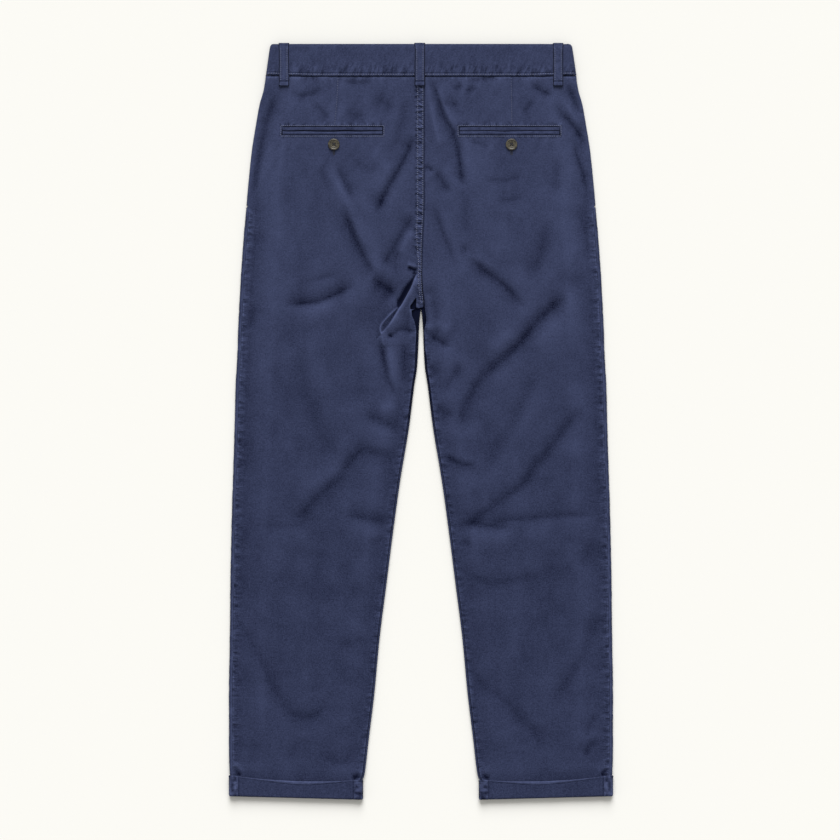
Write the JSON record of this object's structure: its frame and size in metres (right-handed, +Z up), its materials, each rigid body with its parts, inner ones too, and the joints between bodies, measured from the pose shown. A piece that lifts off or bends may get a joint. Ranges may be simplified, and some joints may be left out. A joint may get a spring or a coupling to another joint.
{
  "type": "chino trousers",
  "caption": "Cotton twill chino trousers lying flat, back side up, with double welt back pockets, belt loops and turned-up hems.",
  "frame": {"origin": "centre of the garment's outline, on the surface it lies on", "axes": "+Y from the hems towards the waist, +X towards the wearer's right, +Z up out of the surface, through the back of the garment"},
  "size_m": [0.512, 1.0076, 0.0101],
  "materials": {
    "twill": "matt cotton twill with a fine diagonal rib",
    "twill_inside": "matt cotton twill, shaded inner pieces",
    "button": "satin horn-effect, four holes"
  },
  "bodies": {
    "root": {"back_panel_left": "twill", "back_panel_right": "twill", "front_panel_left": "twill", "front_panel_right": "twill", "pocket_facing_left": "twill_inside", "pocket_facing_right": "twill_inside", "fly_shield": "twill_inside", "waistband": "twill", "belt_loop_left": "twill", "belt_loop_centre": "twill", "belt_loop_right": "twill", "belt_loop_front_left": "twill", "belt_loop_front_right": "twill", "welt_upper_left": "twill", "welt_lower_left": "twill", "welt_upper_right": "twill", "welt_lower_right": "twill", "turn_up_left": "twill", "turn_up_right": "twill", "pocket_button_left": "button", "pocket_button_right": "button", "waist_button": "button"}
  },
  "joints": []
}
